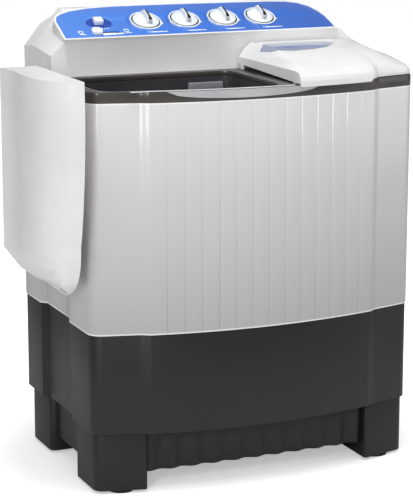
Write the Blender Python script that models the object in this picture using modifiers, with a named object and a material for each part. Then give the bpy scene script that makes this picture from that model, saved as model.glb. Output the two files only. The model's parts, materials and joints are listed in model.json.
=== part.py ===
"""Twin tub washer: a wash tub with a pulsator and a spin tub side by side in one cabinet.

The wash lid hangs on the left side of the cabinet and the spin lid is closed.
Metres, +Z up, the front faces -Y, the floor is z = 0, and the origin is below the middle of the box.
"""
from math import asin, atan2, ceil, cos, hypot, pi, radians, sin, sqrt, tan

import bmesh
import bpy
from mathutils import Matrix, Vector

# Where the cabinet's own middle stands, so that the whole object's box is centred on the origin
CABINET_X = 0.0560
CABINET_Y = 0.0087

# Cabinet, in plan
HALF_WIDTH = 0.380
BACK_Y = 0.2385
SEAM_X = 0.263            # where the bowed front panel meets the corner panels
SEAM_Y = -0.2385
BOW = 0.030               # how far the front panel bows out at its middle
BAYS = 14                 # flat bays of the front panel, one groove between two bays
GROOVE = 0.0015
CORNER_RADIUS = 0.032
CORNER_Y = -0.1758        # the centre of the front corner's arc
RECESS = 0.0125           # depth of the panel let into each side
RECESS_BACK_Y = 0.128
RECESS_FRONT_Y = -0.064
WALL = 0.0025
GAP = 0.0003              # between parts that touch

# Heights
FOOT_PAD = 0.006
SKIRT_BOTTOM = 0.040
BASE_BOTTOM = 0.1333
BASE_TOP = 0.3505
BAND_BOTTOM = 0.842
DECK_Z = 0.865
DECK_PLATE = 0.010

# Wash side
OPENING_LEFT = -0.352
OPENING_RIGHT = 0.040
OPENING_BACK = 0.028
OPENING_LEDGE = 0.013     # width of the deck in front of the opening
TUB_BOTTOM = 0.470
WASH_X, WASH_Y = -0.156, -0.105
SHAFT_RADIUS = 0.008
PULLEY_BOTTOM = 0.352
PULLEY_HEIGHT = 0.014
WASH_PULLEY_RADIUS = 0.062
MOTOR_PULLEY_RADIUS = 0.018
MOTOR_X, MOTOR_Y = -0.250, 0.110

# Spin side
SPIN_X, SPIN_Y = 0.222, -0.085
SPIN_OPENING_RADIUS = 0.100
SPIN_TUB_RADIUS = 0.126
BASKET_RADIUS = 0.108
BASKET_BOTTOM = 0.430
BASKET_TOP = 0.836
BRAKE_RADIUS = 0.055

# Console and its sloping fascia
CONSOLE_FRONT = 0.052
FASCIA_Y, FASCIA_Z = 0.056, 0.948
FASCIA_SLOPE = radians(26)
FASCIA_THICK = 0.0025
CONSOLE_TOP = 1.0025
KNOB_XS = {"wash_timer": -0.129, "wash_selector": -0.036, "drain_selector": 0.058, "spin_timer": 0.150}
KNOB_U = 0.059            # distance of the knobs' axes up the slope
KNOB_RADIUS = 0.030

# Wash lid, hung with its outer face to the left
LID_RIM_X = -0.410
LID_TOP = 0.896
LID_LENGTH = 0.464
LID_BACK = 0.035
LID_WALL = 0.003
LID_PIVOT_X, LID_PIVOT_Z = -0.386, 0.8425
FRONT_RAIL_Y = -0.1577

# Spin lid
SPIN_LID_LEFT = 0.0695
SPIN_LID_RIGHT = 0.3795
SPIN_LID_BACK = 0.046
SPIN_LID_RIM = 0.870
SPIN_HINGE_Y, SPIN_HINGE_Z = 0.037, 0.912

for old in list(bpy.data.objects):
    bpy.data.objects.remove(old)

PARTS = bpy.data.collections.new("twin_tub_washer")
CUTTERS = bpy.data.collections.new("cutters")
bpy.context.scene.collection.children.link(PARTS)
bpy.context.scene.collection.children.link(CUTTERS)


# ---------------------------------------------------------------- materials

def linear(value):
    """One sRGB channel, 0 to 255, as linear light."""
    value /= 255
    return value / 12.92 if value <= 0.04045 else ((value + 0.055) / 1.055) ** 2.4


def material(name, hex_color, roughness, metallic=0.0, alpha=1.0):
    mat = bpy.data.materials.new(name)
    mat.use_nodes = True
    shader = mat.node_tree.nodes["Principled BSDF"]
    red, green, blue = (linear(int(hex_color[i:i + 2], 16)) for i in (0, 2, 4))
    shader.inputs["Base Color"].default_value = (red, green, blue, 1)
    shader.inputs["Roughness"].default_value = roughness
    shader.inputs["Metallic"].default_value = metallic
    shader.inputs["Alpha"].default_value = alpha
    return mat


LOOKS = {
    "grey_panel": ("d2d0d1", 0.35, 0), "white_cover": ("ededed", 0.3, 0), "charcoal": ("2b2a29", 0.4, 0),
    "band_grey": ("4a4643", 0.35, 0), "fascia_blue": ("487edd", 0.3, 0), "knob_white": ("e8f1f5", 0.25, 0),
    "ink_black": ("161616", 0.4, 0), "tub_plastic": ("c9cccf", 0.35, 0),
    "trim_silver": ("c9cacc", 0.3, 0), "steel": ("b9bcc0", 0.3, 1), "zinc_steel": ("c4c6c8", 0.4, 1),
    "motor_grey": ("6f7479", 0.5, 0.6), "rubber": ("1b1b1c", 0.8, 0), "belt_black": ("202020", 0.7, 0),
    "window_blue": ("a6b0c4", 0.1, 0), "cast_grey": ("8a8d90", 0.5, 0.5),
}
MATERIALS = {look: material(look, *values) for look, values in LOOKS.items()}


# ---------------------------------------------------------------- helpers

def add_object(name, mesh, look=None):
    """Put a mesh in the scene: with a look it is a part, without one it is a cutter."""
    obj = bpy.data.objects.new(name, mesh)
    if look:
        PARTS.objects.link(obj)
        mesh.materials.clear()
        mesh.materials.append(MATERIALS[look])
        obj.parent = CABINET
    else:
        CUTTERS.objects.link(obj)
        obj.hide_render = True
        obj.display_type = "WIRE"
        obj.parent = CABINET
    return obj


def smooth(obj, angle=35):
    obj.data.shade_smooth()
    obj.data.set_sharp_from_angle(angle=radians(angle))
    return obj


def empty(name, location, turn_x=0.0):
    frame = bpy.data.objects.new(name, None)
    PARTS.objects.link(frame)
    frame.location = location
    frame.rotation_euler = (turn_x, 0, 0)
    return frame


CABINET = empty("cabinet_origin", (CABINET_X, CABINET_Y, 0))


def mesh_from(name, build):
    """A mesh that build(bm) fills."""
    bm = bmesh.new()
    build(bm)
    bmesh.ops.recalc_face_normals(bm, faces=bm.faces)
    mesh = bpy.data.meshes.new(name)
    bm.to_mesh(mesh)
    bm.free()
    return mesh


def curve_to_mesh(name, curve):
    """The evaluated curve as a closed mesh, with its caps welded on."""
    holder = bpy.data.objects.new(name, curve)
    PARTS.objects.link(holder)
    graph = bpy.context.evaluated_depsgraph_get()
    mesh = bpy.data.meshes.new_from_object(holder.evaluated_get(graph))
    bpy.data.objects.remove(holder)
    bm = bmesh.new()
    bm.from_mesh(mesh)
    bmesh.ops.remove_doubles(bm, verts=bm.verts, dist=0.00001)
    bmesh.ops.recalc_face_normals(bm, faces=bm.faces)
    bm.to_mesh(mesh)
    bm.free()
    return mesh


def prism(name, outlines, low, high, look=None, axis="z"):
    """Flat outlines, the first one outside and the others holes, raised from low to high along axis."""
    curve = bpy.data.curves.new(name, "CURVE")
    curve.dimensions = "2D"
    curve.fill_mode = "BOTH"
    curve.extrude = (high - low) / 2
    for outline in outlines:
        spline = curve.splines.new("POLY")
        spline.points.add(len(outline) - 1)
        for point, (a, b) in zip(spline.points, outline):
            point.co = (a, b, 0, 1)
        spline.use_cyclic_u = True
    mesh = curve_to_mesh(name, curve)
    middle = (low + high) / 2
    if axis == "z":
        mesh.transform(Matrix.Translation((0, 0, middle)))
    elif axis == "y":      # outline given as (x, z)
        mesh.transform(Matrix.Translation((0, middle, 0)) @ Matrix.Rotation(pi / 2, 4, "X"))
    else:                  # outline given as (y, z)
        turn = Matrix(((0, 0, 1, 0), (1, 0, 0, 0), (0, 1, 0, 0), (0, 0, 0, 1)))
        mesh.transform(Matrix.Translation((middle, 0, 0)) @ turn)
    return add_object(name, mesh, look)


def block(name, low, high, look=None, bevel=0.0):
    """A box from its low corner to its high corner."""
    size = [b - a for a, b in zip(low, high)]
    middle = [(a + b) / 2 for a, b in zip(low, high)]

    def build(bm):
        bmesh.ops.create_cube(bm, size=1)
        bmesh.ops.scale(bm, vec=size, verts=bm.verts)
        bmesh.ops.translate(bm, vec=middle, verts=bm.verts)

    obj = add_object(name, mesh_from(name, build), look)
    if bevel:
        rounding = obj.modifiers.new("rounded", "BEVEL")
        rounding.width = bevel
        rounding.segments = 2
        rounding.limit_method = "ANGLE"
    return obj


def cylinder(name, radius, start, end, look=None, segments=32):
    """A round bar between two points."""
    start, end = Vector(start), Vector(end)
    axis = end - start
    turn = axis.to_track_quat("Z", "Y").to_matrix().to_4x4()

    def build(bm):
        bmesh.ops.create_cone(bm, cap_ends=True, segments=segments, radius1=radius, radius2=radius,
                              depth=axis.length)
        bmesh.ops.transform(bm, matrix=Matrix.Translation((start + end) / 2) @ turn, verts=bm.verts)

    obj = add_object(name, mesh_from(name, build), look)
    return smooth(obj) if look else obj


def turned(name, profile, look, location=(0, 0, 0), steps=40, turn_x=0.0):
    """A profile of (radius, height) points, listed down its outer side, turned about its own Z axis."""
    mesh = bpy.data.meshes.new(name)
    count = len(profile)
    touches_axis = profile[0][0] == 0 and profile[-1][0] == 0
    last = count - 1 if touches_axis else count
    mesh.from_pydata([(r, 0, z) for r, z in profile], [(i, (i + 1) % count) for i in range(last)], [])
    obj = add_object(name, mesh, look)
    obj.location = location
    obj.rotation_euler = (turn_x, 0, 0)
    lathe = obj.modifiers.new("turned", "SCREW")
    lathe.steps = lathe.render_steps = steps
    lathe.use_merge_vertices = True
    lathe.merge_threshold = 0.00001
    lathe.use_smooth_shade = True
    return obj


def tube(name, points, radius, look, resolution=2):
    """A round bar along a smooth curve through the points."""
    curve = bpy.data.curves.new(name, "CURVE")
    curve.dimensions = "3D"
    curve.bevel_depth = radius
    curve.bevel_resolution = resolution
    curve.use_fill_caps = True
    spline = curve.splines.new("POLY")
    spline.points.add(len(points) - 1)
    for point, co in zip(spline.points, points):
        point.co = (*co, 1)
    return smooth(add_object(name, curve_to_mesh(name, curve), look))


def through(points, pieces=5):
    """Points on a smooth curve that passes through the given ones."""
    knots = [Vector(p) for p in points]
    knots = [2 * knots[0] - knots[1], *knots, 2 * knots[-1] - knots[-2]]
    path = []
    for a, b, c, d in zip(knots, knots[1:], knots[2:], knots[3:]):
        for i in range(pieces):
            t = i / pieces
            path.append(0.5 * (2 * b + (c - a) * t + (2 * a - 5 * b + 4 * c - d) * t ** 2
                               + (3 * b - a - 3 * c + d) * t ** 3))
    return path + [knots[-2]]


def loft(name, sections, look=None):
    """A closed solid through sections that are rings with the same number of points."""
    def build(bm):
        rings = [[bm.verts.new(point) for point in section] for section in sections]
        for ring_a, ring_b in zip(rings, rings[1:]):
            for i, (a, b) in enumerate(zip(ring_a, ring_b)):
                after = (i + 1) % len(ring_a)
                bm.faces.new((a, ring_a[after], ring_b[after], b))
        bm.faces.new(rings[0])
        bm.faces.new(rings[-1])
        bmesh.ops.remove_doubles(bm, verts=bm.verts, dist=0.00001)

    return add_object(name, mesh_from(name, build), look)


def combine(obj, other, operation="DIFFERENCE"):
    step = obj.modifiers.new(other.name, "BOOLEAN")
    step.operation = operation
    step.object = other
    step.solver = "EXACT"
    return obj


def cut(obj, *others):
    for other in others:
        combine(obj, other)
    return obj


def join(obj, *others):
    for other in others:
        combine(obj, other, "UNION")
    return obj


# ---------------------------------------------------------------- outlines

def ease(t):
    """0 to 1 with a gentle start and end."""
    t = min(max(t, 0.0), 1.0)
    return t * t * (3 - 2 * t)


def arc(x, y, radius, start, end, pieces):
    """Points on an arc, angles in degrees."""
    angles = [radians(start + (end - start) * i / pieces) for i in range(pieces + 1)]
    return [(x + radius * cos(a), y + radius * sin(a)) for a in angles]


def rounded_rectangle(left, right, front, back, radius, pieces=4):
    return (arc(right - radius, back - radius, radius, 0, 90, pieces)
            + arc(left + radius, back - radius, radius, 90, 180, pieces)
            + arc(left + radius, front + radius, radius, 180, 270, pieces)
            + arc(right - radius, front + radius, radius, 270, 360, pieces))


def circle(x, y, radius, pieces=32):
    return arc(x, y, radius, 0, 360, pieces)[:-1]


def offset(outline, distance):
    """A counter-clockwise outline moved inwards by distance, or outwards by a negative one."""
    moved = []
    for i, (x, y) in enumerate(outline):
        before, after = outline[i - 1], outline[(i + 1) % len(outline)]
        ax, ay = x - before[0], y - before[1]
        bx, by = after[0] - x, after[1] - y
        la, lb = hypot(ax, ay), hypot(bx, by)
        nx, ny = -ay / la - by / lb, ax / la + bx / lb
        scale = 2 * distance / (nx * nx + ny * ny)
        moved.append((x + nx * scale, y + ny * scale))
    return moved


FLANK_TILT = radians(14.7)          # the corner panels carry on the bow's slant
FLANK_X = HALF_WIDTH - CORNER_RADIUS * (1 - sin(FLANK_TILT))
FLANK_Y = CORNER_Y - CORNER_RADIUS * cos(FLANK_TILT)
STEP_START, STEP_END = 0.281, 0.258  # the seam's S-shaped step lies between these


def bow_y(x):
    """The bowed front panel."""
    return SEAM_Y - BOW * (1 - (x / SEAM_X) ** 2)


def front_y(x):
    """The cabinet's front at x, from one side wall to the other."""
    x = min(abs(x), HALF_WIDTH)
    if x >= FLANK_X:
        return CORNER_Y - sqrt(max(CORNER_RADIUS ** 2 - (x - HALF_WIDTH + CORNER_RADIUS) ** 2, 0))
    flank = FLANK_Y - (FLANK_X - x) * tan(FLANK_TILT)
    return flank + (bow_y(x) - flank) * ease((STEP_START - x) / (STEP_START - STEP_END))


def front_half(grooves):
    """The front's outline from its middle to the right corner's arc."""
    bay = 2 * SEAM_X / BAYS
    points = []
    for i in range(ceil(BAYS / 2)):
        x = i * bay if BAYS % 2 == 0 else (i + 0.5) * bay
        if grooves:
            points += [(x, bow_y(x) + GROOVE)] if x == 0 else [
                (x - GROOVE, bow_y(x - GROOVE)), (x, bow_y(x) + GROOVE)]
            points.append((x + GROOVE, bow_y(x + GROOVE)))
        else:
            points.append((x, bow_y(x)))
    steps = 6
    for i in range(steps + 1):
        x = STEP_END + (STEP_START - STEP_END) * i / steps
        points.append((x, front_y(x)))
    start = -90 + FLANK_TILT * 180 / pi
    return points + arc(HALF_WIDTH - CORNER_RADIUS, CORNER_Y, CORNER_RADIUS, start, 0, 7)


def cabinet_outline(grooves=False):
    """The cabinet's plan, counter-clockwise from the middle of its front."""
    side = [(HALF_WIDTH, RECESS_FRONT_Y), (HALF_WIDTH - RECESS, RECESS_FRONT_Y + RECESS / 2),
            (HALF_WIDTH - RECESS, RECESS_BACK_Y - RECESS), (HALF_WIDTH, RECESS_BACK_Y)]
    back = arc(HALF_WIDTH - 0.010, BACK_Y - 0.010, 0.010, 0, 90, 3)
    half = front_half(grooves) + side + back
    left = [(-x, y) for x, y in reversed(half) if x > 0]
    return half + left


def opening_outline():
    """The wash tub's mouth: straight sides and back, and a front that follows the bow."""
    radius = 0.048
    front = []
    pieces = 12
    left, right = OPENING_LEFT + radius, OPENING_RIGHT - radius
    for i in range(pieces + 1):
        x = left + (right - left) * i / pieces
        flank = FLANK_Y - (FLANK_X + x) * tan(FLANK_TILT)
        front.append((x, max(bow_y(x), flank) + OPENING_LEDGE))
    turn = 8
    corner_left = arc(left, front[0][1] + radius, radius, 180, 270, turn)[:-1]
    corner_right = arc(right, front[-1][1] + radius, radius, 270, 360, turn)[1:]
    return (corner_left + front + corner_right
            + arc(OPENING_RIGHT - 0.03, OPENING_BACK - 0.03, 0.03, 0, 90, 4)
            + arc(OPENING_LEFT + 0.03, OPENING_BACK - 0.03, 0.03, 90, 180, 4))


# ---------------------------------------------------------------- casings

def build_cabinet():
    outer = cabinet_outline(grooves=True)
    plain = cabinet_outline()
    shell = prism("cabinet_shell", [outer, offset(plain, WALL)], BASE_TOP + 2 * GAP, BAND_BOTTOM - GAP,
                  "grey_panel")
    window = block("rear_opening", (-0.24, 0.2, 0.44), (0.24, 0.3, 0.76))
    cut(shell, window)
    cover = block("rear_cover", (-0.26, BACK_Y + GAP, 0.42), (0.26, BACK_Y + 0.0015, 0.78), "zinc_steel")
    for i, (x, z) in enumerate([(-0.25, 0.43), (0.25, 0.43), (-0.25, 0.77), (0.25, 0.77)]):
        hole = cylinder(f"screw_hole_{i + 1}", 0.0024, (x, 0.2, z), (x, 0.3, z), segments=16)
        cut(shell, hole)
        cut(cover, hole)
        head = BACK_Y + 0.0018
        screw = turned(f"rear_screw_{i + 1}", [(0, 0.0028), (0.003, 0.0024), (0.0044, 0), (0.002, 0),
                                              (0.002, -0.009), (0, -0.010)], "zinc_steel",
                       (x, head, z), 10, -pi / 2)
        screw.data.name = "rear_screw"


def build_base():
    body = offset(cabinet_outline(), 0.0020)
    shell = prism("base_shell", [body, offset(body, 0.003)], BASE_BOTTOM, BASE_TOP, "charcoal")
    cut(shell, cylinder("spigot_hole", 0.0165, (-0.06, 0.2, 0.175), (-0.06, 0.3, 0.175), segments=24))
    plate = prism("base_plate", [offset(body, 0.0035)], BASE_BOTTOM + 0.0005, BASE_BOTTOM + 0.0035,
                  "zinc_steel")
    for i, x in enumerate((-0.12, 0.0, 0.12)):
        cut(plate, prism(f"plate_vent_{i + 1}", [rounded_rectangle(x - 0.03, x + 0.03, 0.17, 0.19, 0.009)],
                         0.12, 0.15))


def skirt_front(x):
    """The corrugated front skirt, a wave with its crests forward, bowed like the panel above."""
    return -0.2005 - 0.0045 * cos(2 * pi * x / 0.050) - 0.006 * (1 - (x / 0.275) ** 2)


def build_plinth():
    waves = [(-0.275 + 0.55 * i / 66, skirt_front(-0.275 + 0.55 * i / 66)) for i in range(67)]
    ring = waves + [(0.350, -0.195), (0.350, 0.222), (-0.350, 0.222), (-0.350, -0.195)]
    inner = [(-0.346, 0.218), (0.346, 0.218), (0.346, -0.190), (-0.346, -0.190)]
    plinth = prism("plinth", [ring, inner], SKIRT_BOTTOM, BASE_BOTTOM - 2 * GAP, "charcoal")
    tilt = FLANK_TILT * 180 / pi
    front_foot = [(0.262, -0.2165), (0.2665, -0.2218)]
    front_foot += arc(HALF_WIDTH - CORNER_RADIUS, CORNER_Y, CORNER_RADIUS - 0.008, -90 + tilt, 0, 6)
    front_foot += [(HALF_WIDTH - 0.008, -0.080), (0.262, -0.080)]
    back_foot = rounded_rectangle(0.270, 0.368, 0.106, 0.2345, 0.014, 3)
    for where, outline in (("front", front_foot), ("back", back_foot)):
        for side, sign in (("left", -1), ("right", 1)):
            placed = [(sign * x, y) for x, y in outline][::sign]
            foot = prism(f"foot_{where}_{side}", [placed], FOOT_PAD + GAP, BASE_BOTTOM - 0.002)
            hollow = prism(f"foot_hollow_{where}_{side}", [offset(placed, 0.004)], FOOT_PAD + 0.005, 0.2)
            join(plinth, foot)
            cut(plinth, hollow)
    pads = {"front_left": (-0.309, -0.180), "front_right": (0.309, -0.180),
            "back_left": (-0.319, 0.170), "back_right": (0.319, 0.170)}
    for place, (x, y) in pads.items():
        turned(f"foot_pad_{place}", [(0, FOOT_PAD), (0.026, FOOT_PAD), (0.028, 0.004), (0.028, 0), (0, 0)],
               "rubber", (x, y, 0), 20)


def build_deck():
    outer = cabinet_outline()
    mouth = opening_outline()
    spin_mouth = circle(SPIN_X, SPIN_Y, SPIN_OPENING_RADIUS, 48)
    deck = prism("top_frame", [outer, mouth, spin_mouth], BAND_BOTTOM, DECK_Z, "band_grey")
    ring = [offset(outer, 0.004), circle(SPIN_X, SPIN_Y, 0.104, 48)]
    cut(deck, prism("deck_underside", ring, BAND_BOTTOM - 0.01, DECK_Z - DECK_PLATE))

    xs = [-0.30 + 0.36 * i / 16 for i in range(17)]
    strip = [(x, bow_y(min(abs(x), STEP_END)) + 0.0022) for x in xs]
    strip += [(x, y + 0.0085) for x, y in reversed(strip)]
    prism("front_rim", [strip], DECK_Z + GAP, DECK_Z + 0.0011, "white_cover")

    middle, reach, drop = -0.052, 0.172, 0.0165
    xs = [middle + reach * (i / 8 - 1) for i in range(17)]
    face = [(x, bow_y(x) - 0.0014) for x in xs] + [(x, bow_y(x) - GAP) for x in reversed(xs)]
    strip = prism("grip_strip", [face], DECK_Z - 0.02, DECK_Z - 0.0005, "trim_silver")
    crescent = [(x, DECK_Z - 0.0015 - drop * sqrt(max(1 - ((x - middle) / reach) ** 2, 0))) for x in xs]
    crescent += [(middle + reach, DECK_Z + 0.01), (middle - reach, DECK_Z + 0.01)]
    combine(strip, prism("grip_crescent", [crescent], -0.29, -0.22, axis="y"), "INTERSECT")
    cut(strip, block("grip_below_lid", (SPIN_LID_LEFT - 0.001, -0.3, SPIN_LID_RIM - 0.0095), (0.2, -0.2, 0.9)))


# ---------------------------------------------------------------- console

def console_section(x, inset=0.0):
    """The console's profile in the plane of x, from its foot round its front and top to its back."""
    left, right = ease((x - 0.315) / 0.065), ease((x - 0.245) / 0.135)
    front_z = min(FASCIA_Z, 0.9120 + (x + 0.370) * 0.93) - 0.040 * left
    top_z = min(CONSOLE_TOP, 0.9225 + (x + 0.370) * 1.25) - 0.078 * right
    back_z = min(0.972, top_z - 0.006)
    foot = DECK_Z + GAP - 5 * inset
    return [(x, CONSOLE_FRONT + inset, foot), (x, FASCIA_Y + 0.8 * inset, front_z - 0.8 * inset),
            (x, 0.1665, top_z - inset), (x, 0.188, top_z - inset),
            (x, BACK_Y - inset, back_z - inset), (x, BACK_Y - inset, foot)]


FASCIA_OUTLINE = ([(-0.335, 0.0), (0.314, 0.0), (0.3125, 0.022), (0.309, 0.048), (0.301, 0.072),
                   (0.287, 0.093), (0.266, 0.108), (0.238, 0.116), (0.20, 0.1195), (0.10, 0.1215),
                   (0.0, 0.123), (-0.10, 0.124)]
                  + [(-0.19, 0.1235), (-0.25, 0.119), (-0.292, 0.110), (-0.315, 0.100), (-0.329, 0.088),
                     (-0.335, 0.070)])


def on_fascia(obj, x=0.0, up=0.0, out=0.0):
    """Hang an object in the fascia's own frame: x along it, up its slope and out of its face."""
    obj.parent = FASCIA
    obj.location = (x, up, out)
    return obj


def build_console():
    stations = [-0.370, -0.360, -0.346, -0.331, -0.318, -0.306, -0.1, 0.1, 0.245, 0.262, 0.279, 0.296,
                0.313, 0.330, 0.347, 0.364, 0.380]
    housing = loft("console_housing", [console_section(x) for x in stations], "white_cover")
    border = prism("fascia_border", [offset(FASCIA_OUTLINE, -0.005)], -0.028, 0.0008)
    on_fascia(border)
    join(housing, border)
    inner = [-0.3665] + stations[1:-1] + [0.376]
    cut(housing, loft("console_hollow", [console_section(x, 0.0035) for x in inner]))
    recess = prism("fascia_recess", [offset(FASCIA_OUTLINE, -GAP)], -FASCIA_THICK - GAP, 0.02)
    cut(housing, on_fascia(recess))
    fascia = prism("fascia", [FASCIA_OUTLINE], -FASCIA_THICK, 0, "fascia_blue")
    on_fascia(fascia)

    for name, x in KNOB_XS.items():
        bore = on_fascia(cylinder(f"{name}_bore", 0.0045, (0, 0, -0.02), (0, 0, 0.01), segments=16), x, KNOB_U)
        cut(housing, bore)
        cut(fascia, bore)
        build_knob(name, x)
        case = "switch" if "selector" in name else "clockwork"
        unit = block(f"{name}_{case}", (-0.023, -0.023, -0.046), (0.023, 0.023, -0.0095), "cast_grey", 0.002)
        on_fascia(unit, x, KNOB_U)
    build_water_controls(fascia)

    x, z = -0.26, 0.925
    cut(housing, cylinder("inlet_hole", 0.0125, (x, 0.2, z), (x, 0.3, z), segments=24))
    spigot = [(0.012, 0.016), (0.012, -0.010), (0.009, -0.010), (0.009, 0.016)]
    turned("water_inlet", spigot, "white_cover", (x, BACK_Y - 0.002, z), 24, -pi / 2)


def build_knob(name, x):
    """A turned skirt and dome with a pinched grip across it."""
    profile = [(0, 0.0105), (0.012, 0.0100), (0.020, 0.0085), (0.0255, 0.0062), (0.0275, 0.0045),
               (KNOB_RADIUS, 0.0030), (KNOB_RADIUS, 0.0008), (0.0040, 0.0008), (0.0040, -0.009), (0, -0.009)]
    knob = on_fascia(turned(f"{name}_knob", profile, "knob_white", steps=28), x, KNOB_U)
    outline = [(-0.0070, 0.002), (0.0080, 0.002), (0.0060, 0.0170), (-0.0025, 0.0215), (-0.0045, 0.0205)]
    grip = prism(f"{name}_grip", [outline], -0.024, 0.024, axis="y")
    ends = [(-0.0245, 0.0), (0.0245, 0.0), (0.0235, 0.008), (0.019, 0.0165), (0.012, 0.022), (-0.012, 0.022),
            (-0.019, 0.0165), (-0.0235, 0.008)]
    profile_end = prism(f"{name}_grip_end", [ends], -0.02, 0.02, axis="x")
    on_fascia(grip, x, KNOB_U)
    on_fascia(profile_end, x, KNOB_U)
    combine(grip, profile_end, "INTERSECT")
    join(knob, grip)


def build_water_controls(fascia):
    """A square lever in an oval well, and below it a slider in a long slot."""
    lever_x, lever_u = -0.243, 0.058
    slot = on_fascia(block("lever_slot", (-0.012, -0.004, -0.02), (0.020, 0.004, 0.01)), lever_x, lever_u)
    well = prism("lever_well", [[(0.031 * cos(a) + 0.003, 0.022 * sin(a)) for a in
                                 [2 * pi * i / 32 for i in range(32)]]], -0.0012, 0.01)
    housing = bpy.data.objects["console_housing"]
    cut(fascia, on_fascia(well, lever_x, lever_u), slot)
    cut(housing, slot)
    lever = block("water_lever", (-0.0105, -0.0095, -0.0008), (0.0105, 0.0095, 0.012), "knob_white", 0.0022)
    stem = block("lever_stem", (-0.004, -0.003, -0.012), (0.004, 0.003, 0.002))
    on_fascia(lever, lever_x, lever_u)
    join(lever, on_fascia(stem, lever_x, lever_u))
    slider_x, slider_u = -0.258, 0.0185
    groove = on_fascia(block("slider_slot", (-0.005, -0.003, -0.02), (0.051, 0.003, 0.01)), slider_x, slider_u)
    cut(fascia, groove)
    cut(housing, groove)
    slider = prism("mode_slider", [rounded_rectangle(-0.012, 0.012, -0.0115, 0.0115, 0.0095, 5)],
                   0.0006, 0.008, "knob_white")
    pin = block("slider_pin", (-0.004, -0.0023, -0.011), (0.004, 0.0023, 0.002))
    on_fascia(slider, slider_x, slider_u)
    join(slider, on_fascia(pin, slider_x, slider_u))


# ---------------------------------------------------------------- lids

LID_PROFILE = [(0.0, 0.082), (0.08, 0.077), (0.18, 0.0735), (0.29, 0.0745), (0.40, 0.077), (0.52, 0.078),
               (0.65, 0.076), (0.76, 0.071), (0.85, 0.062), (0.92, 0.048), (0.97, 0.034), (1.0, 0.022)]


def lid_front(from_left):
    """The wash lid's front edge, at a distance from its left end: a rounded corner, a step, then the bow."""
    radius = 0.105
    x = from_left - 0.398
    edge = bow_y(max(x, -STEP_END)) + 0.0035 if x > -STEP_START else bow_y(STEP_END) + 0.0100
    if -STEP_START < x < -STEP_END:
        low = bow_y(STEP_END)
        edge = low + 0.0100 - 0.0065 * ease((x + STEP_START) / (STEP_START - STEP_END))
    if from_left < radius:
        edge += radius - sqrt(radius ** 2 - (radius - from_left) ** 2)
    return edge


def lid_section(from_left, inset=0.0):
    """One ring of the wash lid, standing out to the left of its rim by the profile's height."""
    back, front = LID_BACK - inset, lid_front(max(from_left, 0.002)) + inset
    slope = [(0.0, 0.010), (0.0268, 0.045), (0.076, 0.082)]
    limit = slope[-1][1]
    for (a, low), (b, high) in zip(slope, slope[1:]):
        if a <= from_left < b:
            limit = low + (high - low) * (from_left - a) / (b - a)
    z = LID_TOP - LID_LENGTH + from_left
    rim = LID_RIM_X + 3 * inset
    ring = [(rim, back, z)]
    for t, height in LID_PROFILE:
        height = min(height, limit - (0.02 * t if from_left < 0.076 else 0)) - inset
        ring.append((LID_RIM_X - max(height, 0.004), back + (front - back) * t, z))
    return ring + [(rim, front, z)]


def build_wash_lid():
    inside = LID_WALL
    early = [0.0, 0.006, 0.014, 0.0268, 0.040, 0.055, 0.0759, 0.092, 0.106, 0.117, 0.1225, 0.1285, 0.134, 0.140]
    stations = early + [0.20, 0.27, 0.34, 0.40, LID_LENGTH]
    lid = loft("wash_lid", [lid_section(s) for s in stations], "white_cover")
    hollow_stations = [inside] + stations[1:-1] + [LID_LENGTH - inside]
    cut(lid, loft("wash_lid_hollow", [lid_section(s, inside) for s in hollow_stations]))
    smooth(lid)

    low, high = LID_TOP - LID_LENGTH + 0.016, LID_TOP - 0.006
    prism("lid_rail_back", [rail_outline(LID_BACK - LID_WALL - GAP, -1)], low, high, "zinc_steel")
    far = LID_RIM_X - 0.020
    web = prism("lid_rail_web", [[(far - 0.06, FRONT_RAIL_Y + 0.0025), (far - 0.06, FRONT_RAIL_Y),
                                  (far + 0.001, FRONT_RAIL_Y), (far + 0.001, FRONT_RAIL_Y + 0.0025)]],
                low + 0.02, high)
    within = [lid_section(s, 0.0012) for s in hollow_stations]
    join(lid, prism("lid_rail_front", [rail_outline(FRONT_RAIL_Y, 1)], low + 0.02, high),
         combine(web, loft("wash_lid_core", within), "INTERSECT"))


def rail_outline(y, side):
    """A channel whose open edge faces along side, its web 2.5 mm thick at y."""
    near, far = LID_RIM_X - 0.006, LID_RIM_X - 0.020
    tip, floor = y + side * 0.017, y + side * 0.003
    outline = [(far, y), (near, y), (near, tip), (near - 0.0025, tip), (near - 0.0025, floor),
               (far + 0.0025, floor), (far + 0.0025, tip), (far, tip)]
    return outline[::side]


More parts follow.
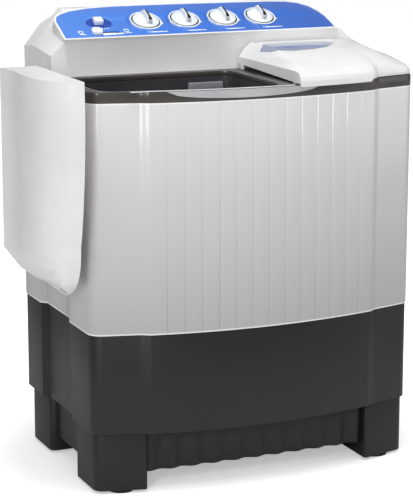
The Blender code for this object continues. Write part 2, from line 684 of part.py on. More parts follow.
def build_lid_carrier():
    """A rod along the cabinet's left edge with two arms whose shoes run in the lid's rails."""
    x, z = LID_PIVOT_X, LID_PIVOT_Z
    carrier = cylinder("lid_carrier", 0.003, (x, -0.146, z), (x, 0.022, z), "steel", 20)
    for place, near, reach in (("back", 0.004, 0.0275), ("front", -0.130, -0.1535)):
        far = near + (0.008 if place == "back" else -0.008)
        side = arc(x, z, 0.0055, -90, 90, 8) + [
            (LID_RIM_X - 0.001, z + 0.0055), (LID_RIM_X - 0.009, z + 0.024), (LID_RIM_X - 0.017, z + 0.024),
            (LID_RIM_X - 0.017, z + 0.013), (LID_RIM_X - 0.0045, z), (LID_RIM_X - 0.0035, z - 0.0055)]
        arm = prism(f"lid_arm_{place}", [side], min(near, far), max(near, far), axis="y")
        shoe = block(f"lid_shoe_{place}", (LID_RIM_X - 0.017, min(near, reach), z + 0.014),
                     (LID_RIM_X - 0.009, max(near, reach), LID_TOP - LID_WALL - GAP))
        join(carrier, arm, shoe)
    for place, low_y, wall_x in (("back", -0.014, -HALF_WIDTH + RECESS), ("front", -0.125, -HALF_WIDTH)):
        bracket = block(f"lid_bracket_{place}", (x - 0.006, low_y, z - 0.008),
                        (wall_x - GAP, low_y + 0.010, z + 0.008), "steel", 0.001)
        cut(bracket, cylinder(f"lid_bracket_bore_{place}", 0.0033, (x, low_y - 0.01, z), (x, low_y + 0.02, z),
                              segments=20))


SPIN_PROFILE = [(0.0, 0.052), (0.12, 0.0545), (0.25, 0.055), (0.40, 0.0535), (0.52, 0.050), (0.64, 0.0445),
                (0.75, 0.038), (0.85, 0.031), (0.92, 0.025), (0.965, 0.019), (0.99, 0.011), (1.0, 0.003)]


def spin_lid_front(x):
    """The lid stands just ahead of the bowed front, and behind the rounded corner."""
    bowed = ease((STEP_START - x) / (STEP_START - STEP_END))
    return front_y(x) - 0.0033 * bowed + 0.004 * (1 - bowed)


def spin_lid_section(x, inset=0.0):
    """One ring of the spin lid in the plane of x: bevelled on the left, rounded down on the right."""
    back, front = SPIN_LID_BACK - inset, spin_lid_front(min(x, 0.3785)) + inset
    from_left = 0.022 + 1.3 * (x - SPIN_LID_LEFT)
    right = ease((x - 0.305) / 0.075)
    ring = [(x, back, SPIN_LID_RIM + 0.007 - 5 * inset)]
    for t, height in SPIN_PROFILE:
        height *= 1 - right * (0.29 + 0.17 * min(t / 0.24, 1))
        y = back + (front - back) * t
        ring.append((x, y, max(SPIN_LID_RIM + min(height, from_left) - inset, SPIN_LID_RIM + 0.001)))
    if inset:
        return ring + [(x, front, SPIN_LID_RIM - 5 * inset)]
    apron = SPIN_LID_RIM - 0.0032 - 0.0058 * ease((0.257 - x) / 0.007)
    return ring + [(x, front, apron), (x, front + 0.0028, apron), (x, front + 0.0028, SPIN_LID_RIM - 0.003)]


WINDOW_OUTLINE = [(0.084, -0.034), (0.088, -0.082), (0.100, -0.112), (0.125, -0.119), (0.180, -0.110),
                  (0.215, -0.096), (0.244, -0.070), (0.262, -0.044), (0.246, -0.018), (0.215, -0.008),
                  (0.165, -0.004), (0.122, -0.008), (0.100, -0.020)]


def build_spin_lid():
    stations = [SPIN_LID_LEFT, 0.083, 0.097, 0.14, 0.18, 0.22, 0.250, 0.257, 0.263, 0.269, 0.275, 0.281, 0.305,
                0.325, 0.339, 0.350, 0.360, 0.368, 0.373, SPIN_LID_RIGHT]
    inner = [SPIN_LID_LEFT + LID_WALL] + stations[1:-1] + [SPIN_LID_RIGHT - LID_WALL]
    lid = loft("spin_lid", [spin_lid_section(x) for x in stations], "white_cover")
    hollow = loft("spin_lid_hollow", [spin_lid_section(x, LID_WALL) for x in inner])
    cut(lid, hollow)
    cut(lid, prism("window_hole", [offset(WINDOW_OUTLINE, -GAP)], 0.85, 1.0))
    for i, x in enumerate((0.105, 0.300)):
        y, z = SPIN_HINGE_Y, SPIN_HINGE_Z
        ear_x = x + 0.014 if i == 0 else x - 0.014
        ear = block(f"spin_ear_{i + 1}", (ear_x, y - 0.007, z - 0.007), (ear_x + 0.008, y + 0.0065, z + 0.0095))
        join(lid, ear)
        cut(lid, block(f"lug_notch_{i + 1}", (x - 0.003, y - 0.010, z - 0.020), (x + 0.011, y + 0.03, z + 0.03)))
        lug = block(f"spin_lug_{'left' if i == 0 else 'right'}", (x, y - 0.006, z - 0.006),
                    (x + 0.008, CONSOLE_FRONT - 0.0005, z + 0.006), "white_cover", 0.001)
        cut(lug, cylinder(f"lug_bore_{i + 1}", 0.0033, (x - 0.01, y, z), (x + 0.02, y, z), segments=20))
    cut(lid, cylinder("spin_ear_bore", 0.0033, (0.09, SPIN_HINGE_Y, SPIN_HINGE_Z),
                      (0.35, SPIN_HINGE_Y, SPIN_HINGE_Z), segments=20))
    for i, (x, y) in enumerate([(SPIN_LID_LEFT, -0.238), (SPIN_LID_LEFT, 0.030), (0.3745, 0.020)]):
        join(lid, block(f"lid_tab_{i + 1}", (x + 0.0002, y - 0.006, DECK_Z + 0.0008),
                        (x + 0.0045, y + 0.006, SPIN_LID_RIM + 0.012)))
    smooth(lid)
    cylinder("spin_hinge_rod", 0.003, (0.102, SPIN_HINGE_Y, SPIN_HINGE_Z), (0.311, SPIN_HINGE_Y, SPIN_HINGE_Z),
             "steel", 16)
    pane = loft("spin_window", [spin_lid_section(x) for x in stations], "window_blue")
    cut(pane, hollow)
    combine(pane, prism("window_pane", [WINDOW_OUTLINE], 0.85, 1.0), "INTERSECT")


# ---------------------------------------------------------------- wash side

def build_wash_tub():
    mouth = opening_outline()
    tub = prism("wash_tub", [offset(mouth, -0.003)], TUB_BOTTOM, DECK_Z - DECK_PLATE - 2 * GAP, "tub_plastic")
    cut(tub, prism("wash_tub_hollow", [offset(mouth, 0.0002)], TUB_BOTTOM + 0.004, 1.0))
    cut(tub, cylinder("tub_shaft_hole", 0.012, (WASH_X, WASH_Y, 0.4), (WASH_X, WASH_Y, 0.5), segments=24))
    cut(tub, cylinder("tub_drain_hole", 0.016, (-0.005, -0.012, 0.4), (-0.005, -0.012, 0.5), segments=24))

    z = TUB_BOTTOM + 0.008
    disc = turned("pulsator", [(0, z + 0.026), (0.018, z + 0.024), (0.030, z + 0.014), (0.060, z + 0.009),
                               (0.100, z + 0.008), (0.108, z + 0.014), (0.112, z + 0.014), (0.112, z),
                               (0, z)], "white_cover", (WASH_X, WASH_Y, 0), 48)
    for i in range(6):
        angle = 2 * pi * i / 6
        fin = prism(f"pulsator_fin_{i + 1}", [[(0.012, z + 0.004), (0.104, z + 0.004), (0.102, z + 0.015),
                                               (0.080, z + 0.022), (0.040, z + 0.024), (0.014, z + 0.022)]],
                    -0.003, 0.003, axis="y")
        fin.location = (WASH_X, WASH_Y, 0)
        fin.rotation_euler = (0, 0, angle)
        join(disc, fin)
    cylinder("pulsator_shaft", SHAFT_RADIUS, (WASH_X, WASH_Y, 0.345), (WASH_X, WASH_Y, z - GAP), "steel", 24)
    bore = SHAFT_RADIUS + GAP
    low = TUB_BOTTOM - GAP
    turned("bearing_housing", [(0.045, low), (0.045, low - 0.006), (0.024, low - 0.008), (0.020, low - 0.070),
                               (bore, low - 0.070), (bore, low)], "cast_grey", (WASH_X, WASH_Y, 0), 24)
    turned("wash_pulley", pulley_profile(WASH_PULLEY_RADIUS, bore), "cast_grey",
           (WASH_X, WASH_Y, PULLEY_BOTTOM), 36)

    slots = [block(f"filter_slot_{i + 1}", (-0.054 + 0.015 * i, 0.0, 0.70), (-0.049 + 0.015 * i, 0.04, 0.828))
             for i in range(5)]
    cut(block("lint_filter", (-0.065, 0.012, 0.62), (0.017, 0.0235, 0.843), "tub_plastic", 0.002), *slots)


def pulley_profile(radius, bore):
    """A flat-bottomed belt groove between two rims."""
    top, rim = PULLEY_HEIGHT, 0.0022
    return [(radius, top), (radius, top - rim), (radius - 0.005, top - rim - 0.002),
            (radius - 0.005, rim + 0.002), (radius, rim), (radius, 0), (bore, 0), (bore, top)]


def build_wash_motor():
    x, y = MOTOR_X, MOTOR_Y
    foot, low, high = BASE_BOTTOM + 0.0038, 0.215, 0.325
    turned("wash_motor", [(0, high - 0.03), (0.0065, high - 0.03), (0.0065, high), (0.020, high),
                          (0.046, high - 0.006), (0.055, high - 0.018), (0.055, low + 0.014), (0.046, low),
                          (0.022, low), (0.022, foot + 0.006), (0.045, foot + 0.004), (0.045, foot),
                          (0, foot)], "motor_grey", (x, y, 0), 24)
    pulley = pulley_profile(MOTOR_PULLEY_RADIUS, 0.0)
    profile = pulley[:-2] + [(0.006, 0), (0.006, high - 0.028 - PULLEY_BOTTOM), (0, high - 0.028 - PULLEY_BOTTOM),
                             (0, PULLEY_HEIGHT)]
    profile = [profile[-1]] + profile[:-1]
    turned("wash_motor_pulley", profile, "cast_grey", (x, y, PULLEY_BOTTOM), 20)

    def around(extra):
        """The loop round both pulleys, extra metres outside the bottoms of their grooves."""
        big, small = WASH_PULLEY_RADIUS - 0.005 + extra, MOTOR_PULLEY_RADIUS - 0.005 + extra
        dx, dy = MOTOR_X - WASH_X, MOTOR_Y - WASH_Y
        heading = atan2(dy, dx) * 180 / pi
        half = asin((big - small) / hypot(dx, dy)) * 180 / pi
        start = heading + 90 - half
        return (arc(WASH_X, WASH_Y, big, start, start + 180 + 2 * half, 20)
                + arc(MOTOR_X, MOTOR_Y, small, start + 180 + 2 * half, start + 360, 8))

    prism("drive_belt", [around(0.0075), around(0.0004)], PULLEY_BOTTOM + 0.005, PULLEY_BOTTOM + 0.009,
          "belt_black")


def build_drain():
    x, y, low = -0.005, -0.012, 0.414
    body = cylinder("drain_valve", 0.024, (x, y, low), (x, y, TUB_BOTTOM - GAP), "white_cover")
    stub = cylinder("drain_valve_stub", 0.013, (x, y, 0.430), (x, y + 0.036, 0.430))
    join(body, stub)
    cut(body, cylinder("drain_valve_bore", 0.0155, (x, y, low + 0.005), (x, y, 0.6)))
    cut(body, cylinder("drain_valve_outlet", 0.010, (x, y, 0.430), (x, y + 0.06, 0.430)))
    route = [(x, y + 0.0382, 0.430), (x, y + 0.0450, 0.430), (x - 0.004, 0.060, 0.424), (x - 0.02, 0.110, 0.380), (-0.050, 0.165, 0.300),
             (-0.060, 0.190, 0.215), (-0.060, 0.210, 0.180), (-0.060, 0.236, 0.175), (-0.060, 0.245, 0.175)]
    tube("drain_hose", [route[0], *through(route[1:], 4)], 0.0125, "rubber")


# ---------------------------------------------------------------- spin side

def build_spin_side():
    x, y = SPIN_X, SPIN_Y
    high = DECK_Z - DECK_PLATE - 2 * GAP
    outer, bore = SPIN_TUB_RADIUS, SHAFT_RADIUS + GAP
    turned("spin_outer_tub", [(outer, high), (outer, 0.400), (0.020, 0.400), (0.020, 0.404),
                              (outer - 0.003, 0.404), (outer - 0.003, high)], "tub_plastic", (x, y, 0), 40)
    basket = turned("spin_basket", [(BASKET_RADIUS, BASKET_TOP), (BASKET_RADIUS, BASKET_BOTTOM + 0.01),
                                    (BASKET_RADIUS - 0.008, BASKET_BOTTOM), (0, BASKET_BOTTOM),
                                    (0, BASKET_BOTTOM + 0.003), (BASKET_RADIUS - 0.010, BASKET_BOTTOM + 0.003),
                                    (BASKET_RADIUS - 0.002, BASKET_BOTTOM + 0.012),
                                    (BASKET_RADIUS - 0.002, BASKET_TOP - 0.004),
                                    (BASKET_RADIUS - 0.014, BASKET_TOP - 0.004),
                                    (BASKET_RADIUS - 0.014, BASKET_TOP)], "steel", (x, y, 0), 36)
    for row in range(4):
        for i in range(3):
            angle = pi * (i + 0.5 * (row % 2)) / 3 + 0.1
            reach = Vector((0.13 * cos(angle), 0.13 * sin(angle), 0))
            middle = Vector((x, y, 0.50 + 0.085 * row))
            cut(basket, cylinder(f"basket_hole_{row}_{i}", 0.0045, middle - reach, middle + reach, segments=8))
    cylinder("spin_shaft", SHAFT_RADIUS, (x, y, 0.290), (x, y, BASKET_BOTTOM - GAP), "steel", 24)
    turned("spin_seal", [(0.0197, 0.412), (0.017, 0.409), (0.0197, 0.406), (0.0197, 0.397), (bore, 0.397),
                         (bore, 0.412)], "rubber", (x, y, 0), 24)
    turned("brake_disc", [(BRAKE_RADIUS, 0.348), (BRAKE_RADIUS, 0.330), (0.050, 0.326), (bore, 0.326),
                          (bore, 0.348)], "cast_grey", (x, y, 0), 32)
    low, high = 0.205, 0.318
    turned("spin_motor", [(0, high - 0.034), (bore, high - 0.034), (bore, high), (0.024, high),
                          (0.052, high - 0.008), (0.062, high - 0.020), (0.062, low + 0.014),
                          (0.056, low + 0.006), (0.098, low + 0.004), (0.098, low), (0, low)],
           "motor_grey", (x, y, 0), 28)
    floor, ceiling = BASE_BOTTOM + 0.0040, low - 0.0005
    wire, coil, turns, pieces = 0.0020, 0.012, 3, 10
    for i in range(3):
        angle = radians(90 + 120 * i)
        cx, cy = x + 0.082 * cos(angle), y + 0.082 * sin(angle)
        rise = ceiling - floor - 2 * wire
        points = [(cx + coil * cos(2 * pi * t), cy + coil * sin(2 * pi * t), floor + wire + rise * t / turns)
                  for t in [turns * k / (turns * pieces) for k in range(turns * pieces + 1)]]
        tube(f"spin_spring_{i + 1}", points, wire * 0.95, "steel", 1)

    gland = (0.32, BACK_Y - 0.001, 0.40)
    hole = cylinder("gland_hole", 0.009, (0.32, 0.2, 0.40), (0.32, 0.3, 0.40), segments=20)
    cut(bpy.data.objects["cabinet_shell"], hole)
    turned("cord_gland", [(0.0085, 0.010), (0.0085, -0.006), (0.0055, -0.006), (0.0055, 0.010)], "rubber",
           gland, 20, -pi / 2)


def build_all():
    build_cabinet()
    build_base()
    build_plinth()
    build_deck()
    build_console()
    build_wash_lid()
    build_lid_carrier()
    build_spin_lid()
    build_wash_tub()
    build_wash_motor()
    build_drain()
    build_spin_side()


FASCIA = empty("fascia_frame", (0, FASCIA_Y, FASCIA_Z), FASCIA_SLOPE)
FASCIA.parent = CABINET
build_all()
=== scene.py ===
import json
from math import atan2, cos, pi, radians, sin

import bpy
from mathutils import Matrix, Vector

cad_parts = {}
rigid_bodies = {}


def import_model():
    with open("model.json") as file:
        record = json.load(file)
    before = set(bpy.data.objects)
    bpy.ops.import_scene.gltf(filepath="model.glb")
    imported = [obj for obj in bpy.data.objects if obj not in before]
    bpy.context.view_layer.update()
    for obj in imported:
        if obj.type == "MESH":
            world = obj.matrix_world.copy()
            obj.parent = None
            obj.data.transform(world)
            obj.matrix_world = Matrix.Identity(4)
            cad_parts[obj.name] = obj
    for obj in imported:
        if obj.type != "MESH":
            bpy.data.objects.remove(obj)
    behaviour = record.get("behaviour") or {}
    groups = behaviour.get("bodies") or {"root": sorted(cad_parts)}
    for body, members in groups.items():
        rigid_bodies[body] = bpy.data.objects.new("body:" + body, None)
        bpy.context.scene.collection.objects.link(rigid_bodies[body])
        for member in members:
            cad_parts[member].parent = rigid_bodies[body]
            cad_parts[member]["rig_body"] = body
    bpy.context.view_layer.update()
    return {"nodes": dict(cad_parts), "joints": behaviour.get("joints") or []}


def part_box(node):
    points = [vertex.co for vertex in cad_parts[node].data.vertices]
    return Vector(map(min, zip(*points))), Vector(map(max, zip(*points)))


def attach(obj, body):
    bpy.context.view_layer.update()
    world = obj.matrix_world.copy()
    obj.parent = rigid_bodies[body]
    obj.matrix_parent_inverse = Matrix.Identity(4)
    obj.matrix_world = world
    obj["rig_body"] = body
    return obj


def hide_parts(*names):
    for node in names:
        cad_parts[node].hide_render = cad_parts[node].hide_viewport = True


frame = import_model()

# %% [markdown]
# # Twin tub washer
# The solids that move and fit are already here. This lesson gives them their finished edges, their
# plastics and paints, and the small trim that a solid model leaves out: knob rings, blades, legends
# and the well round the fill lever. Every length is in metres.

joints = {joint["name"]: joint for joint in frame["joints"]}
cabinet_low, cabinet_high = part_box("cabinet_shell")
cabinet_mid_x = (cabinet_low.x + cabinet_high.x) / 2
print("cabinet from", tuple(cabinet_low), "to", tuple(cabinet_high))

# %% [markdown]
# ## Colours
# Paint and plastic colours are picked on a screen, so they are written as the sRGB hex that a colour
# picker shows. Blender's shaders add up light, which needs linear values, so one function converts.

# %% Hex colour to linear light
def linear_colour(hex_code):
    channels = [int(hex_code[i:i + 2], 16) / 255 for i in (0, 2, 4)]
    return tuple(c / 12.92 if c <= 0.04045 else ((c + 0.055) / 1.055) ** 2.4 for c in channels) + (1.0,)


print("fascia blue is", linear_colour("3d7ade"))

# %% [markdown]
# ## One helper to add a node
# A material is a small graph. This helper adds one node, sets its properties and its sockets, and
# links what feeds it, so each recipe below reads as a list of steps.

# %% The node helper
def add_node(tree, kind, properties=None, values=None, links=None):
    node = tree.nodes.new(kind)
    for name, value in (properties or {}).items():
        setattr(node, name, value)
    for socket, value in (values or {}).items():
        node.inputs[socket].default_value = value
    for socket, source in (links or {}).items():
        tree.links.new(source, node.inputs[socket])
    return node


def new_finish(name, metallic, roughness, ior=None, **more):
    """A material with its Principled shader and a place to read Object coordinates."""
    finish = bpy.data.materials.new(name)
    finish.use_nodes = True
    tree = finish.node_tree
    shader = tree.nodes["Principled BSDF"]
    shader.inputs["Metallic"].default_value = metallic
    shader.inputs["Roughness"].default_value = roughness
    if ior:
        shader.inputs["IOR"].default_value = ior
    for socket, value in more.items():
        shader.inputs[socket.replace("_", " ")].default_value = value
    place = add_node(tree, "ShaderNodeTexCoord").outputs["Object"]
    return finish, tree, shader, place


def ramp_colours(ramp, stops):
    """Set a colour ramp from (position, hex) pairs."""
    elements = ramp.color_ramp.elements
    while len(elements) < len(stops):
        elements.new(0.5)
    for element, (position, code) in zip(elements, stops):
        element.position = position
        element.color = linear_colour(code)


print("node helper ready")

# %% [markdown]
# ## Moulded plastic
# Most of the washer is injection-moulded ABS or polypropylene. The mould is spark-eroded, which
# leaves a pebble about 0.4 mm across on the satin parts and almost none on the glossy ones. It is too
# fine to show, so it is drawn 0.6 mm across, or 0.9 mm on the black base. Cooling draws the colour
# very slightly uneven, so a large soft noise varies it. Rubbed edges and dust make the gloss uneven
# too, so the roughness follows the same soft noise.

# %% Moulded plastic finish
def moulded_plastic(name, light, dark, roughness, pebble_mm=0.6, depth=0.05, clear=0.0):
    finish, tree, shader, place = new_finish(name, 0.0, roughness, 1.53, Coat_Weight=clear,
                                             Coat_Roughness=0.08)
    cloud = add_node(tree, "ShaderNodeTexNoise", values={"Scale": 9.0, "Detail": 3.0},
                     links={"Vector": place})
    tint = add_node(tree, "ShaderNodeValToRGB", links={"Fac": cloud.outputs["Fac"]})
    ramp_colours(tint, [(0.35, dark), (0.65, light)])
    tree.links.new(tint.outputs["Color"], shader.inputs["Base Color"])
    wear = add_node(tree, "ShaderNodeMapRange",
                    values={"To Min": roughness - 0.06, "To Max": roughness + 0.07},
                    links={"Value": cloud.outputs["Fac"]})
    tree.links.new(wear.outputs["Result"], shader.inputs["Roughness"])
    noise_scale = 1000 / pebble_mm / 2        # a noise of scale 1 has lumps about half a metre across
    grain = add_node(tree, "ShaderNodeTexNoise", values={"Scale": noise_scale, "Detail": 2.0},
                     links={"Vector": place})
    bump = add_node(tree, "ShaderNodeBump", values={"Strength": depth, "Distance": 0.0002},
                    links={"Height": grain.outputs["Fac"]})
    tree.links.new(bump.outputs["Normal"], shader.inputs["Normal"])
    return finish


white_abs = moulded_plastic("gloss_white_abs", "f4f4f5", "eeeef0", 0.32, depth=0.02, clear=0.25)
lid_abs = moulded_plastic("satin_white_lid_abs", "f2f2f3", "ebebed", 0.34, depth=0.03, clear=0.15)
knob_abs = moulded_plastic("pearl_white_knob_abs", "f6f9fb", "eaf2f6", 0.22, depth=0.01, clear=0.5)
charcoal_pp = moulded_plastic("charcoal_polypropylene", "131211", "0f0e0d", 0.48, pebble_mm=0.9,
                              depth=0.12)
skirt_pp = moulded_plastic("black_skirt_polypropylene", "121212", "0d0d0d", 0.52, pebble_mm=0.9,
                           depth=0.12)
band_abs = moulded_plastic("umber_grey_abs", "47423f", "3c3835", 0.3, depth=0.03, clear=0.2)
tub_pp = moulded_plastic("ice_grey_tub_polypropylene", "8f9194", "7e8083", 0.36, depth=0.03)
# the wash tub's dark grey is painted shade: the inside of the tub lies in shadow
shaded_tub_pp = moulded_plastic("tub_polypropylene_painted_shade", "403f43", "353438", 0.4, depth=0.03)
# this silver also paints the grip strip, where its light colour is a painted reflection in a concave
# scoop
silver_abs_and_painted_reflection = moulded_plastic("silver_grey_abs_and_painted_reflection", "c6c7c9", "b4b5b8", 0.3, depth=0.02, clear=0.3)
# this black also paints the shade in the sunk grooves round the knobs
black_abs_and_painted_shade = moulded_plastic("gloss_black_abs_and_painted_shade", "16181a", "0e0f10", 0.25, depth=0.01, clear=0.4)
# this navy also paints the shadow arc beside each knob ring
navy_abs_and_painted_shadow = moulded_plastic("navy_well_abs_and_painted_shadow", "1f4bb8", "123a94", 0.4, depth=0.02)
# this pale blue also paints the highlights on the lever well's lip
sky_abs_and_painted_highlight = moulded_plastic("pale_blue_print_ink_and_painted_highlight", "8fb8f4", "78a6ec", 0.4, depth=0.01)
print("moulded plastics ready")

# %% [markdown]
# ## The blue control panel
# The fascia is clear plastic back-printed in blue: the ink fades from a lighter blue on the left to
# a deeper one on the right, under a hard glossy face. A gradient along the panel's own length mixes
# the two inks, and a clear coat gives the second, sharper reflection.

# %% Back-printed fascia
fascia_low, fascia_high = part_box("fascia")


def printed_fascia():
    finish, tree, shader, place = new_finish("back_printed_blue_acrylic", 0.0, 0.3, 1.49,
                                             Coat_Weight=0.5, Coat_Roughness=0.05)
    split = add_node(tree, "ShaderNodeSeparateXYZ", links={"Vector": place})
    along = add_node(tree, "ShaderNodeMapRange",
                     values={"From Min": fascia_low.x, "From Max": fascia_high.x},
                     links={"Value": split.outputs["X"]})
    ink = add_node(tree, "ShaderNodeValToRGB", links={"Fac": along.outputs["Result"]})
    ramp_colours(ink, [(0.0, "4f88e2"), (0.45, "3674d8"), (1.0, "2161c4")])
    speck = add_node(tree, "ShaderNodeTexNoise", values={"Scale": 900.0, "Detail": 2.0},
                     links={"Vector": place})
    shade = add_node(tree, "ShaderNodeMapRange", values={"To Min": 0.96, "To Max": 1.04},
                     links={"Value": speck.outputs["Fac"]})
    mix = add_node(tree, "ShaderNodeVectorMath", {"operation": "SCALE"},
                   links={0: ink.outputs["Color"], "Scale": shade.outputs["Result"]})
    tree.links.new(mix.outputs["Vector"], shader.inputs["Base Color"])
    return finish


fascia_blue = printed_fascia()
print("fascia runs from", round(fascia_low.x, 3), "to", round(fascia_high.x, 3))

# %% [markdown]
# ## Painted sheet steel
# The cabinet is pressed steel with a baked grey enamel. Sprayed enamel dries to a faint orange peel,
# ripples about 3 mm across. A ramp on height paints light into its colour: the grey is painted
# darker low down and lighter towards the top, as light from above falls on it, and the steel's
# rolled-over top and bottom edges get a painted highlight 2 mm deep.

# %% Baked enamel
def baked_enamel():
    finish, tree, shader, place = new_finish("baked_grey_enamel_and_painted_light", 0.0, 0.32, 1.5, Coat_Weight=0.3,
                                             Coat_Roughness=0.12)
    split = add_node(tree, "ShaderNodeSeparateXYZ", links={"Vector": place})
    height = add_node(tree, "ShaderNodeMapRange",
                      values={"From Min": cabinet_low.z, "From Max": cabinet_high.z},
                      links={"Value": split.outputs["Z"]})
    enamel_and_painted_light = add_node(tree, "ShaderNodeValToRGB", links={"Fac": height.outputs["Result"]})
    edge_highlight_depth = 0.0024 / (cabinet_high.z - cabinet_low.z)
    # painted light: darker low down and lighter high up, with a painted highlight along the top and
    # bottom edges
    ramp_colours(enamel_and_painted_light, [(0.0, "f7f7f8"), (edge_highlight_depth, "f3f3f4"), (edge_highlight_depth * 1.4, "b9b7b9"), (0.45, "cfcdcf"),
                         (1 - edge_highlight_depth * 1.3, "e2e0e1"), (1 - edge_highlight_depth, "fafafa")])
    tree.links.new(enamel_and_painted_light.outputs["Color"], shader.inputs["Base Color"])
    peel = add_node(tree, "ShaderNodeTexNoise", values={"Scale": 330.0, "Detail": 1.0},
                    links={"Vector": place})
    dust = add_node(tree, "ShaderNodeTexNoise", values={"Scale": 14.0, "Detail": 4.0},
                    links={"Vector": place})
    gloss = add_node(tree, "ShaderNodeMapRange", values={"To Min": 0.26, "To Max": 0.40},
                     links={"Value": dust.outputs["Fac"]})
    tree.links.new(gloss.outputs["Result"], shader.inputs["Roughness"])
    bump = add_node(tree, "ShaderNodeBump", values={"Strength": 0.04, "Distance": 0.0003},
                    links={"Height": peel.outputs["Fac"]})
    tree.links.new(bump.outputs["Normal"], shader.inputs["Normal"])
    return finish


grey_enamel = baked_enamel()
print("enamel ready")

# %% [markdown]
# ## Metals and rubber
# Zinc-plated steel shows a faint spangle, drawn steel shows fine lines along its length, and cast
# aluminium is sandy. The motors are grey enamel over castings. Rubber is matt and mottled with a
# little bloom.

# %% Metal and rubber finishes
def worked_metal(name, light, dark, roughness, stretch, depth, metallic=1.0):
    finish, tree, shader, place = new_finish(name, metallic, roughness)
    lay = add_node(tree, "ShaderNodeMapping", values={"Scale": stretch}, links={"Vector": place})
    grain = add_node(tree, "ShaderNodeTexNoise", values={"Scale": 1.0, "Detail": 4.0},
                     links={"Vector": lay.outputs["Vector"]})
    tone = add_node(tree, "ShaderNodeValToRGB", links={"Fac": grain.outputs["Fac"]})
    ramp_colours(tone, [(0.3, dark), (0.7, light)])
    tree.links.new(tone.outputs["Color"], shader.inputs["Base Color"])
    bump = add_node(tree, "ShaderNodeBump", values={"Strength": depth, "Distance": 0.0002},
                    links={"Height": grain.outputs["Fac"]})
    tree.links.new(bump.outputs["Normal"], shader.inputs["Normal"])
    return finish


zinc_steel = worked_metal("zinc_plated_steel", "c9cbcd", "a9acb0", 0.38, (120, 120, 120), 0.05)
drawn_steel = worked_metal("drawn_steel", "c4c7ca", "a3a6aa", 0.25, (600, 600, 30), 0.05)
perforated_steel = worked_metal("brushed_stainless_steel", "cdcfd1", "b0b3b6", 0.28, (40, 40, 900), 0.06)
cast_aluminium = worked_metal("sand_cast_aluminium", "9a9da0", "7c7f82", 0.5, (700, 700, 700), 0.25)
motor_enamel = worked_metal("motor_grey_enamel", "7a7e83", "64686d", 0.45, (400, 400, 400), 0.12, 0.2)
black_rubber = worked_metal("moulded_black_rubber", "232324", "151516", 0.75, (500, 500, 500), 0.2, 0.0)
belt_rubber = worked_metal("fabric_backed_belt_rubber", "2b2b2b", "171717", 0.7, (900, 900, 300), 0.3,
                           0.0)
print("metals and rubbers ready")

# %% [markdown]
# ## The spin lid's window
# The window is a smoked blue-grey polycarbonate lens. Light passes through it but the dark drum
# below leaves it a soft blue grey, so the shader mixes transmission with a tinted surface.

# %% Smoked polycarbonate
def smoked_window():
    finish, tree, shader, place = new_finish("smoked_blue_polycarbonate", 0.0, 0.12, 1.58,
                                             Transmission_Weight=0.22, Coat_Weight=0.4,
                                             Coat_Roughness=0.04)
    ripple = add_node(tree, "ShaderNodeTexNoise", values={"Scale": 30.0, "Detail": 2.0},
                      links={"Vector": place})
    tone = add_node(tree, "ShaderNodeValToRGB", links={"Fac": ripple.outputs["Fac"]})
    ramp_colours(tone, [(0.3, "9fabc4"), (0.7, "b6c0d4")])
    tree.links.new(tone.outputs["Color"], shader.inputs["Base Color"])
    bump = add_node(tree, "ShaderNodeBump", values={"Strength": 0.06, "Distance": 0.0004},
                    links={"Height": ripple.outputs["Fac"]})
    tree.links.new(bump.outputs["Normal"], shader.inputs["Normal"])
    return finish


window_lens = smoked_window()
print("window finish ready")

# %% [markdown]
# ## Camera, light and floor
# The washer is seen from its front left corner and a little above, through a long lens, so that its
# uprights stay almost parallel. A soft box hangs above, the main one stands in front on the left, so
# the hung lid throws a soft shadow on the cabinet, and a weak one fills the right. The floor is one
# pale sheet. Only the camera sees the world as pure white, and away from the washer the floor glows
# up to that white, so no horizon shows.

# %% Camera
camera_data = bpy.data.cameras.new("studio_camera")
camera_data.lens = 139.5
camera_data.sensor_width = 36
camera_data.dof.use_dof = False
camera = bpy.data.objects.new("studio_camera", camera_data)
bpy.context.scene.collection.objects.link(camera)
camera.location = (cabinet_mid_x - 1.726, -3.8843, 1.3965)
camera.rotation_euler = (radians(90 - 12.35), 0, radians(-23.55))
bpy.context.scene.camera = camera
bpy.context.scene.view_settings.view_transform = "Standard"
print("camera", tuple(round(c, 3) for c in camera.location))


# %% Lights, world and floor
def soft_box(name, location, target, size, power):
    data = bpy.data.lights.new(name, "AREA")
    data.shape = "RECTANGLE"
    data.size, data.size_y = size
    data.energy = power
    lamp = bpy.data.objects.new(name, data)
    bpy.context.scene.collection.objects.link(lamp)
    lamp.location = location
    lamp.rotation_euler = (Vector(target) - Vector(location)).to_track_quat("-Z", "Y").to_euler()
    return lamp


middle = (cabinet_mid_x, 0, 0.6)
soft_box("overhead_box", (-0.1, -0.6, 3.0), middle, (2.2, 1.8), 46)
soft_box("main_box", (-2.4, -3.0, 1.9), middle, (0.9, 1.4), 47)
soft_box("fill_box", (3.0, -1.6, 1.4), middle, (1.6, 2.0), 10)
world = bpy.data.worlds.new("white_studio")
bpy.context.scene.world = world
world.use_nodes = True
background = world.node_tree.nodes["Background"]
background.inputs["Color"].default_value = (1, 1, 1, 1)
eye = add_node(world.node_tree, "ShaderNodeLightPath")
glow = add_node(world.node_tree, "ShaderNodeMapRange", values={"To Min": 0.30, "To Max": 1.0},
                links={"Value": eye.outputs["Is Camera Ray"]})
world.node_tree.links.new(glow.outputs["Result"], background.inputs["Strength"])

